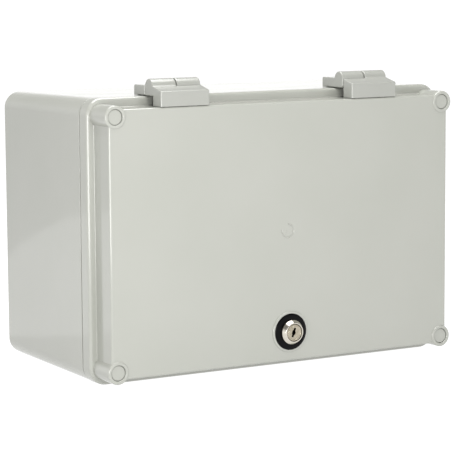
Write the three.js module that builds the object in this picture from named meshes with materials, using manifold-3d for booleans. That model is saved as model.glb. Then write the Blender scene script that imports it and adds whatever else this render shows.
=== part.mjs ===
// A hinged, lockable moulded box: a deep tub, a lid that swings up on two pin hinges, and a cam lock.
// Millimetres, +Z up, the lid faces -Y. Inside the group, x is measured from the middle, y backwards
// from the lid's face and z from the middle height; the group then stands the box on z = 0.
import * as THREE from "three";
import { mergeVertices } from "three/addons/utils/BufferGeometryUtils.js";
import Module from "manifold-3d";

const wasm = await Module();
wasm.setup();

// Driving dimensions
const LID = { halfW: 145, halfH: 95.7, corner: 5, wall: 3, edge: 1.5 };
const BAND = { halfW: 150.7, halfH: 102.6, corner: 13, front: 22.5, back: 34, edge: 2.2, chamfer: 0.4 };
const TUB = { inset: 0.3, wall: 3.8, back: 170, draft: 1.9, cornerBack: 12, edge: 8 };
const COLUMN = { reach: 7, hole: 2.1, deep: 26 };
const SEAL = { halfW: 148.5, halfH: 100.4, corner: 10.8, width: 3.2, floor: 28, gap: 0.2 };
const GATE = { z: 1, r: 3.2, deep: 0.2 };
const BOSS = { x: 140, z: 90.3, r: 8.25, proud: 1, recess: 5.6, ledge: 2.4, bore: 4.9, deep: 14, screw: 2.6 };
const FOOT = { x: 136, z: 80.5, r: 8, tall: 3, hole: 2.6 };
const HINGE = { width: 39.6, leftX: -103.4, rightX: 58.1, wideKnuckle: 19.5, pinY: 18.3, pinZ: 109.4, r: 5.7 };
const KNUCKLE = { gap: 0.8, under: 102.95 };
const LID_LEAF = { depth: 12, frontTop: 106.9, backTop: 109 };
const BODY_LEAF = { front: 24.6, back: 40.5, under: 103, foot: 34.7, footZ: 102.6, top: 110.2, bevel: 0.8 };
const PIN = { r: 1.9, hole: 2.1, blind: 2 };
const SCREW = { r: 1.5, hole: 1.8, headR: 2.9, headH: 2, inset: 8 };
const LID_SCREW = { y: 6.6, tip: 103.4 };
const BODY_SCREW = { y: 37.6, tip: 108 };
const LOCK = { x: 3.2, z: -74, tilt: 20, r: 7.9, flats: 7.2, headR: 9.1, plugR: 6.2, back: 37.5, proud: 6.3 };
const RING = { r: 13.5, front: 1.9, edge: 0.7 };
const NUT = { corner: 12.4, front: 4.7, back: 9.7 };
const WASHER = { r: 12.8, back: 4.4 };
const KEYWAY = { back: 15, start: -7 };
const CAM = { back: 40.7, thick: 2.5, halfW: 7.5, reach: 13.5, square: 3.5 };
const CAM_SCREW = { r: 1.8, hole: 2.2, front: 32, headR: 5.6, headH: 2.4 };
const KEEPER = { x: -1, halfW: 15, front: 36.2, thick: 1.5, top: -85, base: -96.6, depth: 15, hole: 1.5 };
const PAD = { x: 10, r: 4, base: -100, hole: 1.3 };
const KEEPER_SCREW = { r: 1, headR: 2.4, headH: 1.5 };
const GAP = 0.3;

// The lid's face stands where the whole depth, lock head to feet, is centred on y = 0
const FACE_Y = -(TUB.back + FOOT.tall - LOCK.proud) / 2;

const TILT = THREE.MathUtils.degToRad(LOCK.tilt);
const SIDES = [-1, 1];
const CORNERS = SIDES.flatMap((sx) => SIDES.map((sz) => [sx, sz]));

// Solids and booleans

function toSolid(geometry) {
  const bare = geometry.index ? geometry.clone() : mergeable(geometry);
  for (const name of Object.keys(bare.attributes)) {
    if (name !== "position") {
      bare.deleteAttribute(name);
    }
  }
  const merged = mergeVertices(bare, 1e-4);
  const mesh = new wasm.Mesh({
    numProp: 3,
    vertProperties: new Float32Array(merged.attributes.position.array),
    triVerts: new Uint32Array(merged.index.array),
  });
  return new wasm.Manifold(mesh);
}

function mergeable(geometry) {
  const copy = new THREE.BufferGeometry();
  copy.setAttribute("position", geometry.attributes.position.clone());
  return copy;
}

function toGeometry(solid) {
  const mesh = solid.getMesh();
  const geometry = new THREE.BufferGeometry();
  geometry.setAttribute("position", new THREE.BufferAttribute(mesh.vertProperties, 3));
  geometry.setIndex(new THREE.BufferAttribute(mesh.triVerts, 1));
  geometry.computeVertexNormals();
  return geometry;
}

function join(...solids) {
  return solids.reduce((whole, next) => whole.add(next));
}

function cut(solid, ...tools) {
  return tools.reduce((left, tool) => left.subtract(tool), solid);
}

// A block between two corners
function box(x0, x1, y0, y1, z0, z1) {
  const geometry = new THREE.BoxGeometry(x1 - x0, y1 - y0, z1 - z0);
  geometry.translate((x0 + x1) / 2, (y0 + y1) / 2, (z0 + z1) / 2);
  return toSolid(geometry);
}

// A round bar along Y at x, z
function barY(x, z, r, y0, y1, segments = 28) {
  const geometry = new THREE.CylinderGeometry(r, r, y1 - y0, segments);
  geometry.translate(x, (y0 + y1) / 2, z);
  return toSolid(geometry);
}

// A round bar along X at y, z
function barX(y, z, r, x0, x1, segments = 16) {
  const geometry = new THREE.CylinderGeometry(r, r, x1 - x0, segments);
  geometry.rotateZ(Math.PI / 2);
  geometry.translate((x0 + x1) / 2, y, z);
  return toSolid(geometry);
}

// A round bar along Z at x, y
function barZ(x, y, r, z0, z1, segments = 12) {
  const geometry = new THREE.CylinderGeometry(r, r, z1 - z0, segments);
  geometry.rotateX(Math.PI / 2);
  geometry.translate(x, y, (z0 + z1) / 2);
  return toSolid(geometry);
}

// An outline in x, z pushed from y0 back to y1
function prismY(shape, y0, y1) {
  const options = { depth: y1 - y0, bevelEnabled: false, curveSegments: 6 };
  const geometry = new THREE.ExtrudeGeometry(shape, options);
  geometry.rotateX(Math.PI / 2);
  geometry.translate(0, y1, 0);
  return toSolid(geometry);
}

// An outline in y, z pushed from x0 across to x1
function prismX(shape, x0, x1) {
  const options = { depth: x1 - x0, bevelEnabled: false, curveSegments: 8 };
  const geometry = new THREE.ExtrudeGeometry(shape, options);
  const turn = new THREE.Matrix4();
  turn.makeBasis(new THREE.Vector3(0, 1, 0), new THREE.Vector3(0, 0, 1), new THREE.Vector3(1, 0, 0));
  geometry.applyMatrix4(turn);
  geometry.translate(x0, 0, 0);
  return toSolid(geometry);
}

// A turned piece about the Y axis at x, z, from a list of [radius, y]
function turned(x, z, profile, segments = 32) {
  const points = profile.map(([r, y]) => new THREE.Vector2(r, y));
  const geometry = new THREE.LatheGeometry(points, segments);
  geometry.translate(x, 0, z);
  return toSolid(geometry);
}

function roundedRect(halfW, halfH, r) {
  const shape = new THREE.Shape();
  shape.moveTo(halfW, halfH - r);
  shape.absarc(halfW - r, halfH - r, r, 0, Math.PI / 2);
  shape.absarc(r - halfW, halfH - r, r, Math.PI / 2, Math.PI);
  shape.absarc(r - halfW, r - halfH, r, Math.PI, 1.5 * Math.PI);
  shape.absarc(halfW - r, r - halfH, r, 1.5 * Math.PI, 2 * Math.PI);
  return shape;
}

// One loop of points round a rounded rectangle at depth y
function ringPoints({ y, halfW, halfH, r }) {
  const steps = 6;
  const starts = [[1, 1], [-1, 1], [-1, -1], [1, -1]];
  return starts.flatMap(([sx, sz], quarter) =>
    Array.from({ length: steps + 1 }, (_, i) => {
      const angle = (quarter + i / steps) * (Math.PI / 2);
      const x = sx * (halfW - r) + r * Math.cos(angle);
      const z = sz * (halfH - r) + r * Math.sin(angle);
      return [x, y, z];
    }),
  );
}

// A closed solid through rounded-rectangle loops, front to back, so that walls can taper and edges round
function loft(rings) {
  const loops = rings.map(ringPoints);
  const count = loops[0].length;
  const last = (loops.length - 1) * count;
  const front = loops.length * count;
  const points = [...loops.flat(), [0, rings[0].y, 0], [0, rings[rings.length - 1].y, 0]];
  const faces = [];
  for (let i = 0; i < count; i++) {
    const j = (i + 1) % count;
    for (let ring = 0; ring < loops.length - 1; ring++) {
      const a = ring * count;
      const b = a + count;
      faces.push(a + i, b + j, a + j, a + i, b + i, b + j);
    }
    faces.push(front, i, j, front + 1, last + j, last + i);
  }
  const geometry = new THREE.BufferGeometry();
  geometry.setAttribute("position", new THREE.Float32BufferAttribute(points.flat(), 3));
  geometry.setIndex(faces);
  return toSolid(geometry);
}

// Loops that round an edge of radius r over, ending at depth y; side is -1 for a front edge, 1 for a back one
function roundedEnd(y, halfW, halfH, corner, r, side) {
  const steps = 4;
  const rings = Array.from({ length: steps + 1 }, (_, i) => {
    const angle = (i / steps) * (Math.PI / 2);
    const inward = r * (1 - Math.cos(angle));
    const along = r * (1 - Math.sin(angle));
    return { y: y - side * along, halfW: halfW - inward, halfH: halfH - inward, r: corner - inward };
  });
  return side < 0 ? rings.reverse() : rings;
}

// Materials

const PLASTIC = { color: 0xc9ccc4, roughness: 0.28, metalness: 0 };
const HINGE_PLASTIC = { color: 0xb9bcb3, roughness: 0.4, metalness: 0 };
const STEEL = { color: 0xa9abad, roughness: 0.35, metalness: 1 };
const NICKEL = { color: 0xd6d2c8, roughness: 0.15, metalness: 1 };
const BLACK = { color: 0x101010, roughness: 0.2, metalness: 0 };
const FOAM = { color: 0x2b2b2b, roughness: 0.9, metalness: 0 };

const box3d = new THREE.Group();
box3d.position.set(0, FACE_Y, BAND.halfH);

function add(name, solid, look) {
  const mesh = new THREE.Mesh(toGeometry(solid), new THREE.MeshStandardMaterial(look));
  mesh.name = name;
  box3d.add(mesh);
}

// Tub

function tubOuter() {
  const front = BAND.back + GAP;
  const halfW = BAND.halfW - TUB.inset;
  const halfH = BAND.halfH - TUB.inset;
  const c = BAND.chamfer;
  const start = [
    { y: front, halfW: halfW - c, halfH: halfH - c, r: BAND.corner - c },
    { y: front + c, halfW, halfH, r: BAND.corner },
  ];
  const end = roundedEnd(TUB.back, halfW - TUB.draft, halfH - TUB.draft, TUB.cornerBack, TUB.edge, 1);
  return loft([...start, ...end]);
}

function tubHollow() {
  const halfW = BAND.halfW - TUB.inset - TUB.wall;
  const halfH = BAND.halfH - TUB.inset - TUB.wall;
  const corner = BAND.corner - TUB.wall;
  const start = [{ y: BAND.back, halfW, halfH, r: corner }];
  const floor = TUB.back - TUB.wall;
  const end = roundedEnd(floor, halfW - TUB.draft, halfH - TUB.draft, corner - 1, TUB.edge - TUB.wall, 1);
  return loft([...start, ...end]);
}

// Solid square corner column for one lid screw, joined to both walls
function column(sx, sz) {
  const x = [sx * (BOSS.x - COLUMN.reach), sx * BAND.halfW];
  const z = [sz * (BOSS.z - COLUMN.reach), sz * BAND.halfH];
  return box(Math.min(...x), Math.max(...x), BAND.back + GAP, TUB.back, Math.min(...z), Math.max(...z));
}

function keeperPads() {
  const y = KEEPER.front + KEEPER.thick + KEEPER.depth / 2;
  return SIDES.map((side) => {
    const x = KEEPER.x + side * PAD.x;
    return { x, y, pad: barZ(x, y, PAD.r, PAD.base, KEEPER.base - GAP) };
  });
}

// The two screws of each hinge, at depth y
function leafScrewSpots(y) {
  return [HINGE.leftX, HINGE.rightX].flatMap((x0) => screwColumns(x0).map((x) => [x, y]));
}

function screwColumns(x0) {
  return [x0 + SCREW.inset, x0 + HINGE.width - SCREW.inset];
}

function tub() {
  const outer = tubOuter();
  const columns = join(...CORNERS.map(([sx, sz]) => column(sx, sz)));
  let shell = cut(outer, cut(tubHollow(), columns));
  for (const [sx, sz] of CORNERS) {
    const foot = { x: sx * FOOT.x, z: sz * FOOT.z, end: TUB.back + FOOT.tall };
    shell = shell.add(barY(foot.x, foot.z, FOOT.r, TUB.back - 2, foot.end, 24));
    shell = shell.subtract(barY(foot.x, foot.z, FOOT.hole, TUB.back - 8, foot.end + 1, 14));
    const bore = barY(sx * BOSS.x, sz * BOSS.z, COLUMN.hole, BAND.back, BAND.back + COLUMN.deep, 12);
    shell = shell.subtract(bore);
  }
  for (const { x, y, pad } of keeperPads()) {
    shell = shell.add(pad);
    shell = shell.subtract(barZ(x, y, PAD.hole, PAD.base - 1, KEEPER.base, 10));
  }
  for (const [x, y] of leafScrewSpots(BODY_SCREW.y)) {
    shell = shell.subtract(barZ(x, y, SCREW.hole, BAND.halfH - TUB.wall - 2, BAND.halfH + 1));
  }
  return shell;
}

// Lid

function lidOuter() {
  const face = roundedEnd(0, LID.halfW, LID.halfH, LID.corner, LID.edge, -1);
  const raised = loft([...face, { y: BAND.back - 4, halfW: LID.halfW, halfH: LID.halfH, r: LID.corner }]);
  const c = BAND.chamfer;
  const shoulder = roundedEnd(BAND.front, BAND.halfW, BAND.halfH, BAND.corner, BAND.edge, -1);
  const band = loft([
    ...shoulder,
    { y: BAND.back - c, halfW: BAND.halfW, halfH: BAND.halfH, r: BAND.corner },
    { y: BAND.back, halfW: BAND.halfW - c, halfH: BAND.halfH - c, r: BAND.corner - c },
  ]);
  return join(raised, band);
}

function bossProfile() {
  const front = -BOSS.proud;
  return [[0, front], [BOSS.r - 0.7, front], [BOSS.r - 0.2, front + 0.2], [BOSS.r, front + 0.7],
    [BOSS.r, BAND.front + 2], [0, BAND.front + 2]];
}

function lidHollow() {
  const rect = roundedRect(LID.halfW - LID.wall, LID.halfH - LID.wall, 3);
  const hollow = prismY(rect, LID.wall, BAND.back + 1);
  const posts = CORNERS.map(([sx, sz]) => barY(sx * BOSS.x, sz * BOSS.z, BOSS.r - 0.25, 0, BAND.back + 2));
  return cut(hollow, ...posts);
}

function sealRing(clear, y0, y1) {
  const outer = roundedRect(SEAL.halfW - clear, SEAL.halfH - clear, SEAL.corner - clear);
  const inset = SEAL.width - clear;
  const inner = roundedRect(SEAL.halfW - inset, SEAL.halfH - inset, SEAL.corner - inset);
  return cut(prismY(outer, y0, y1), prismY(inner, y0 - 1, y1 + 1));
}

function lid() {
  const bosses = CORNERS.map(([sx, sz]) => turned(sx * BOSS.x, sz * BOSS.z, bossProfile()));
  let shell = cut(join(lidOuter(), ...bosses), lidHollow(), sealRing(0, SEAL.floor, BAND.back + 1));
  for (const [sx, sz] of CORNERS) {
    const x = sx * BOSS.x;
    const z = sz * BOSS.z;
    shell = shell.subtract(barY(x, z, BOSS.recess, -BOSS.proud - 1, BOSS.ledge, 24));
    shell = shell.subtract(barY(x, z, BOSS.bore, 0, BOSS.deep, 24));
    shell = shell.subtract(barY(x, z, BOSS.screw, BOSS.deep - 1, BAND.back + 1, 12));
  }
  shell = shell.subtract(barY(LOCK.x, LOCK.z, LOCK.r + GAP, -1, LID.wall + 1, 32));
  shell = shell.subtract(barY(0, GATE.z, GATE.r, -1, GATE.deep, 24));
  for (const [x, y] of leafScrewSpots(LID_SCREW.y)) {
    shell = shell.subtract(barZ(x, y, SCREW.hole, LID.halfH - LID.wall - 1, LID.halfH + 1));
  }
  return shell;
}

// A plug with a flat round head that sits on the ledge in a boss
function bossCap(sx, sz) {
  const back = BOSS.ledge - GAP;
  const stem = BOSS.bore - GAP;
  return turned(sx * BOSS.x, sz * BOSS.z, [
    [0, 0], [BOSS.recess - 0.6, 0], [BOSS.recess - GAP, 0.3], [BOSS.recess - GAP, back], [stem, back],
    [stem, 7], [0, 7],
  ], 24);
}

// Hinges: each leaf is a block with one knuckle; the pin runs blind in both knuckles

function knuckleArc(shape, from, to) {
  shape.absarc(HINGE.pinY, HINGE.pinZ, HINGE.r, from, to, true);
}

// The sloping top runs up to the knuckle's arc, and the back face is tangent to it
function lidKnuckleShape() {
  const back = HINGE.pinY + HINGE.r;
  const shape = new THREE.Shape();
  shape.moveTo(0, LID.halfH + GAP);
  shape.lineTo(0, LID_LEAF.frontTop);
  knuckleArc(shape, Math.PI * 0.965, 0);
  shape.lineTo(back, KNUCKLE.under + 1);
  shape.lineTo(back - 1, KNUCKLE.under);
  shape.lineTo(LID_LEAF.depth, KNUCKLE.under);
  shape.lineTo(LID_LEAF.depth, LID.halfH + GAP);
  return shape;
}

function lidBlockShape() {
  const shape = new THREE.Shape();
  shape.moveTo(0, LID.halfH + GAP);
  shape.lineTo(0, LID_LEAF.frontTop);
  shape.lineTo(LID_LEAF.depth - 1, LID_LEAF.backTop + 0.6);
  shape.lineTo(LID_LEAF.depth, LID_LEAF.backTop);
  shape.lineTo(LID_LEAF.depth, LID.halfH + GAP);
  return shape;
}

function bodyBlockShape() {
  const leaf = BODY_LEAF;
  const shape = new THREE.Shape();
  shape.moveTo(leaf.front, leaf.under);
  shape.lineTo(leaf.front, leaf.top);
  shape.lineTo(leaf.back - leaf.bevel, leaf.top);
  shape.lineTo(leaf.back, leaf.top - leaf.bevel);
  shape.lineTo(leaf.back, leaf.footZ);
  shape.lineTo(leaf.foot, leaf.footZ);
  shape.lineTo(leaf.foot, leaf.under);
  return shape;
}

function bodyKnuckleShape() {
  const leaf = BODY_LEAF;
  const shape = new THREE.Shape();
  shape.moveTo(HINGE.pinY - HINGE.r + 1.5, leaf.under);
  shape.lineTo(HINGE.pinY - HINGE.r, leaf.under + 1.5);
  knuckleArc(shape, Math.PI, Math.asin((leaf.top - HINGE.pinZ) / HINGE.r));
  shape.lineTo(leaf.front + 0.4, leaf.top);
  shape.lineTo(leaf.front + 0.4, leaf.under);
  return shape;
}

// side -1: the wide knuckle's leaf is the lid's (left hinge); 1: it is the body's (right hinge)
function hingeSpans(x0, side) {
  const split = x0 + HINGE.wideKnuckle;
  const wide = [x0, split];
  const narrow = [split + KNUCKLE.gap, x0 + HINGE.width];
  return side < 0 ? { lid: wide, body: narrow } : { lid: narrow, body: wide };
}

function pinSpan(x0) {
  return [x0 + PIN.blind + GAP, x0 + HINGE.width - PIN.blind - GAP];
}

function boredForPin(solid, x0) {
  return solid.subtract(barX(HINGE.pinY, HINGE.pinZ, PIN.hole, x0 + PIN.blind, x0 + HINGE.width - PIN.blind));
}

function lidLeaf(x0, side) {
  const { lid: span } = hingeSpans(x0, side);
  const block = prismX(lidBlockShape(), x0, x0 + HINGE.width);
  const knuckle = prismX(lidKnuckleShape(), span[0], span[1]);
  let leaf = boredForPin(join(block, knuckle), x0);
  for (const x of screwColumns(x0)) {
    leaf = leaf.subtract(barZ(x, LID_SCREW.y, SCREW.hole, LID.halfH, LID_SCREW.tip + 0.6));
  }
  return leaf;
}

function bodyLeaf(x0, side) {
  const { body: span } = hingeSpans(x0, side);
  const block = prismX(bodyBlockShape(), x0, x0 + HINGE.width);
  const knuckle = prismX(bodyKnuckleShape(), span[0], span[1]);
  let leaf = boredForPin(join(block, knuckle), x0);
  for (const x of screwColumns(x0)) {
    leaf = leaf.subtract(barZ(x, BODY_SCREW.y, SCREW.hole, BODY_LEAF.footZ - 1, BODY_SCREW.tip + 0.6));
  }
  return leaf;
}

// A screw pointing up along Z, its round head under the wall at z
function wallScrew(x, y, z, tip) {
  const head = barZ(x, y, SCREW.headR, z - GAP - SCREW.headH, z - GAP, 20);
  return join(head, barZ(x, y, SCREW.r, z - GAP - 0.5, tip));
}

// Lock

function trimRing() {
  const inner = LOCK.r + 0.4;
  return turned(LOCK.x, LOCK.z, [
    [inner, -GAP],
    [inner, -RING.front],
    [inner + 1.4, -RING.front],
    [RING.r - 0.9, 0.4 - RING.front],
    [RING.r - 0.2, -RING.edge - 0.4],
    [RING.r, -RING.edge],
    [RING.r, -GAP],
    [inner, -GAP],
  ], 40);
}

// A bevelled head on a barrel with two flats; the bore takes the plug
function lockHousing() {
  const bore = LOCK.plugR + GAP;
  const under = -RING.front - GAP;
  const body = turned(LOCK.x, LOCK.z, [
    [bore, LOCK.back],
    [bore, 0.2 - LOCK.proud],
    [bore + 0.3, -LOCK.proud],
    [LOCK.headR - 2, -LOCK.proud],
    [LOCK.headR - 1.6, 0.2 - LOCK.proud],
    [LOCK.headR, under - 1.4],
    [LOCK.headR, under],
    [LOCK.r, under],
    [LOCK.r, LOCK.back],
    [bore, LOCK.back],
  ]);
  const flats = SIDES.map((side) => {
    const x = [LOCK.x + side * LOCK.flats, LOCK.x + side * (LOCK.r + 1)];
    const z = [LOCK.z - LOCK.headR, LOCK.z + LOCK.headR];
    return box(Math.min(...x), Math.max(...x), LID.wall + 1, LOCK.back + 1, ...z);
  });
  return cut(body, ...flats);
}

function lockNut() {
  const points = Array.from({ length: 6 }, (_, i) => {
    const angle = (i * Math.PI) / 3;
    return new THREE.Vector2(LOCK.x + NUT.corner * Math.cos(angle), LOCK.z + NUT.corner * Math.sin(angle));
  });
  const hole = barY(LOCK.x, LOCK.z, LOCK.r + GAP, NUT.front - 1, NUT.back + 1);
  return cut(prismY(new THREE.Shape(points), NUT.front, NUT.back), hole);
}

function lockWasher() {
  const disc = barY(LOCK.x, LOCK.z, WASHER.r, LID.wall + GAP, WASHER.back);
  return cut(disc, barY(LOCK.x, LOCK.z, LOCK.r + GAP, LID.wall, WASHER.back + 1));
}

// The slot is a stack of short offset steps, as a profiled keyway is
function keyway() {
  const outline = [
    [-0.9, -3.6], [0.5, -3.6], [0.5, -1.6], [1.1, -1], [1.1, 0.4], [0.6, 1],
    [0.6, 3.6], [-0.7, 3.6], [-0.7, 1.6], [-1.2, 1], [-1.2, -1.2], [-0.9, -1.8],
  ];
  const shape = new THREE.Shape(outline.map(([x, z]) => new THREE.Vector2(x, z)));
  const slot = new THREE.ExtrudeGeometry(shape, { depth: KEYWAY.back - KEYWAY.start, bevelEnabled: false });
  slot.rotateX(Math.PI / 2);
  slot.translate(0, KEYWAY.back, 0);
  return placedOnLock(slot);
}

// Turns a piece made round the lock's own axis to the angle at which the lock sits, and moves it there
function placedOnLock(geometry) {
  geometry.rotateY(TILT);
  geometry.translate(LOCK.x, 0, LOCK.z);
  return toSolid(geometry);
}

function squareStub(half, y0, y1) {
  const geometry = new THREE.BoxGeometry(2 * half, y1 - y0, 2 * half);
  geometry.translate(0, (y0 + y1) / 2, 0);
  return placedOnLock(geometry);
}

function lockPlug() {
  const end = LOCK.back + 0.4;
  const front = GAP - LOCK.proud;
  const barrel = turned(LOCK.x, LOCK.z, [
    [0, front],
    [LOCK.plugR - 0.4, front],
    [LOCK.plugR, front + 0.3],
    [LOCK.plugR, end],
    [0, end],
  ]);
  const whole = join(barrel, squareStub(CAM.square, end - 1, CAM.back + 0.5));
  const threadHole = barY(LOCK.x, LOCK.z, CAM_SCREW.hole, CAM_SCREW.front - 2, CAM.back + 2, 12);
  return cut(whole, keyway(), threadHole);
}

function lockCam() {
  const shape = new THREE.Shape();
  shape.moveTo(0, -CAM.halfW);
  shape.absarc(0, 0, CAM.halfW, -Math.PI / 2, Math.PI / 2, false);
  shape.absarc(-CAM.reach, 0, CAM.halfW, Math.PI / 2, 1.5 * Math.PI, false);
  const options = { depth: CAM.thick, bevelEnabled: false, curveSegments: 10 };
  const plate = new THREE.ExtrudeGeometry(shape, options);
  plate.rotateX(Math.PI / 2);
  plate.translate(0, CAM.back, 0);
  return placedOnLock(plate).subtract(squareStub(CAM.square + GAP, CAM.back - CAM.thick - 1, CAM.back + 1));
}

function camScrew() {
  const { r, front, headR, headH } = CAM_SCREW;
  const under = CAM.back + 0.8;
  return turned(LOCK.x, LOCK.z, [
    [0, front],
    [r, front],
    [r, under],
    [headR, under],
    [headR, under + headH - 0.8],
    [headR - 1, under + headH],
    [0, under + headH],
  ], 20);
}

// Keeper: a bent plate on the tub's floor, with an upright that the cam turns behind

function keeper() {
  const { x, halfW, front, thick, top, base, depth } = KEEPER;
  const upright = box(x - halfW, x + halfW, front, front + thick, base, top);
  const foot = box(x - halfW, x + halfW, front, front + thick + depth, base, base + thick);
  const holes = keeperPads().map((spot) => barZ(spot.x, spot.y, KEEPER.hole, base - 1, base + thick + 1));
  return cut(join(upright, foot), ...holes);
}

function keeperScrew(x, y) {
  const seat = KEEPER.base + KEEPER.thick + GAP;
  const head = barZ(x, y, KEEPER_SCREW.headR, seat, seat + KEEPER_SCREW.headH, 16);
  return join(head, barZ(x, y, KEEPER_SCREW.r, KEEPER.base - 2.2, seat + 0.5, 10));
}

// Assembly

add("tub", tub(), PLASTIC);
add("lid", lid(), PLASTIC);
add("lid_seal", sealRing(SEAL.gap, SEAL.floor + GAP, BAND.back), FOAM);
CORNERS.forEach(([sx, sz]) => {
  const name = `boss_cap_${sz > 0 ? "top" : "bottom"}_${sx < 0 ? "left" : "right"}`;
  add(name, bossCap(sx, sz), PLASTIC);
});
for (const [side, x0, word] of [[-1, HINGE.leftX, "left"], [1, HINGE.rightX, "right"]]) {
  const [from, to] = pinSpan(x0);
  add(`hinge_lid_leaf_${word}`, lidLeaf(x0, side), HINGE_PLASTIC);
  add(`hinge_body_leaf_${word}`, bodyLeaf(x0, side), HINGE_PLASTIC);
  add(`hinge_pin_${word}`, barX(HINGE.pinY, HINGE.pinZ, PIN.r, from, to), STEEL);
}
leafScrewSpots(LID_SCREW.y).forEach(([x, y], i) => {
  add(`lid_leaf_screw_${i + 1}`, wallScrew(x, y, LID.halfH - LID.wall, LID_SCREW.tip), STEEL);
});
leafScrewSpots(BODY_SCREW.y).forEach(([x, y], i) => {
  const inside = BAND.halfH - TUB.inset - TUB.wall - 0.1;
  add(`body_leaf_screw_${i + 1}`, wallScrew(x, y, inside, BODY_SCREW.tip), STEEL);
});
add("lock_trim_ring", trimRing(), BLACK);
add("lock_housing", lockHousing(), NICKEL);
add("lock_washer", lockWasher(), STEEL);
add("lock_nut", lockNut(), STEEL);
add("lock_plug", lockPlug(), NICKEL);
add("lock_cam", lockCam(), STEEL);
add("cam_screw", camScrew(), STEEL);
add("keeper", keeper(), STEEL);
keeperPads().forEach(({ x, y }, i) => {
  add(`keeper_screw_${i + 1}`, keeperScrew(x, y), STEEL);
});

export default box3d;
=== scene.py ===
# %% [markdown]
# # A hinged, lockable moulded box
#
# The box is a deep tub with a lid that swings up on two pin hinges. A cam lock near the lower edge
# keeps the lid shut, and four round bosses stand in the lid's corners. This lesson builds the finer,
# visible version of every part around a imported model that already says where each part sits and
# what moves with what.
#
# Lengths in the code are millimetres, the way a drawing gives them. `x` runs across the box, `y`
# runs back from the lid's face and `z` runs up from the middle height. Each mesh is carried into
# the shared frame, in metres, in its last step.

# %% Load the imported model
from math import asin, cos, pi, radians, sin

import bmesh
import bpy
from mathutils import Matrix, Quaternion, Vector


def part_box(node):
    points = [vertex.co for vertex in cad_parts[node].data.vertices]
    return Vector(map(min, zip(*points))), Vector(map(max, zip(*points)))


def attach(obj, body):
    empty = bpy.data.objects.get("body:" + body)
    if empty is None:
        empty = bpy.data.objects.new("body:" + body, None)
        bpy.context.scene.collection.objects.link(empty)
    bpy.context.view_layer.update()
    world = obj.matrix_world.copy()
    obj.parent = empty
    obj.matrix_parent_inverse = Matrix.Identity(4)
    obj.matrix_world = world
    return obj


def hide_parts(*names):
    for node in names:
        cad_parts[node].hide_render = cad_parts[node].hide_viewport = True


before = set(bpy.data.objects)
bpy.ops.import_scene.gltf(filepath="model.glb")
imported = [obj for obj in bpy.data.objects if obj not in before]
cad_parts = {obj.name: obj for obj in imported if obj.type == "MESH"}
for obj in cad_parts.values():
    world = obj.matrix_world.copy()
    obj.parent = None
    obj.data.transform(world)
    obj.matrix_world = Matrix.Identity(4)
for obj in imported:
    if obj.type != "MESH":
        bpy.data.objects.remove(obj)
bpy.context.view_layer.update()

print("packed nodes:", len(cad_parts))

# %% [markdown]
# ## Where things are
#
# The lid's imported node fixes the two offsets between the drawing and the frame. Its bosses stand
# 1 mm proud of the face, so the face lies 1 mm behind the node's lowest `y`, and the drawing's
# middle height is halfway up the node.

# %% Drawing to frame
METRES = 0.001
BOSS_PROUD = 1.0
lid_low, lid_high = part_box("lid")
FACE_Y = lid_low.y + BOSS_PROUD * METRES
MIDDLE_Z = (lid_low.z + lid_high.z) / 2
TO_FRAME = Matrix.Translation((0, FACE_Y, MIDDLE_Z)) @ Matrix.Scale(METRES, 4)
print("lid face at y =", round(FACE_Y, 5), "middle height at z =", round(MIDDLE_Z, 5))

# %% [markdown]
# ## The camera
#
# A long lens from far away keeps parallel edges nearly parallel. The camera stands a metre and a
# half away, turned about 31 degrees to the left of the lid and looking down by 7. `to_track_quat`
# points a camera, which looks along its own -Z, along any direction. Four tenths of a degree of
# roll is added round its own axis.

# %% Camera
VIEW_TURN = radians(30.655)
VIEW_DROP = radians(7.144)
VIEW_ROLL = radians(-0.396)
VIEW_DISTANCE = 1.545
VIEW_LENS = 166.9
VIEW_AIM = Vector((-0.0367, -0.0611, 0.1064))

looking = Vector((sin(VIEW_TURN) * cos(VIEW_DROP), cos(VIEW_TURN) * cos(VIEW_DROP), -sin(VIEW_DROP)))
camera = bpy.data.objects.new("camera", bpy.data.cameras.new("camera"))
camera.data.lens = VIEW_LENS
camera.data.sensor_width = 36.0
camera.data.clip_end = 50.0
camera.location = VIEW_AIM - looking * VIEW_DISTANCE
turned_to_box = looking.to_track_quat("-Z", "Y") @ Quaternion((0, 0, 1), VIEW_ROLL)
camera.rotation_mode = "QUATERNION"
camera.rotation_quaternion = turned_to_box
scene = bpy.context.scene
scene.collection.objects.link(camera)
scene.camera = camera
print("camera at", [round(value, 3) for value in camera.location])

# %% [markdown]
# ## Building node trees
#
# Materials, the world and Geometry Nodes are all node trees. One helper adds a node, fills its
# sockets and links it: a value that is itself a socket becomes a link, anything else is typed in.

# %% Node helper
def add_node(tree, kind, sockets=None, **settings):
    made = tree.nodes.new(kind)
    for name, value in settings.items():
        setattr(made, name, value)
    for key, value in (sockets or {}).items():
        if isinstance(value, bpy.types.NodeSocket):
            tree.links.new(value, made.inputs[key])
        else:
            made.inputs[key].default_value = value
    return made


def empty_tree(owner):
    owner.use_nodes = True
    owner.node_tree.nodes.clear()
    return owner.node_tree

# %% [markdown]
# ## The studio
#
# Glossy plastic shows the room it stands in. The room here is white around the horizon and dim
# overhead, so that flat walls pick up a calm, pale reflection while the metal of the lock still
# finds something dark. The floor is a plain grey that glows almost white by itself, as a light
# table does. Most of its brightness is its own, which keeps the shadow under the box faint.

# %% Room and floor
HORIZON_LIGHT = 1.12
CEILING_LIGHT = 0.28
DIM_FROM, DIM_TO = 0.14, 0.50
TABLE_GREY, TABLE_GLOW = 0.16, 0.96
FLOOR_HALF = 12.0

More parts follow.
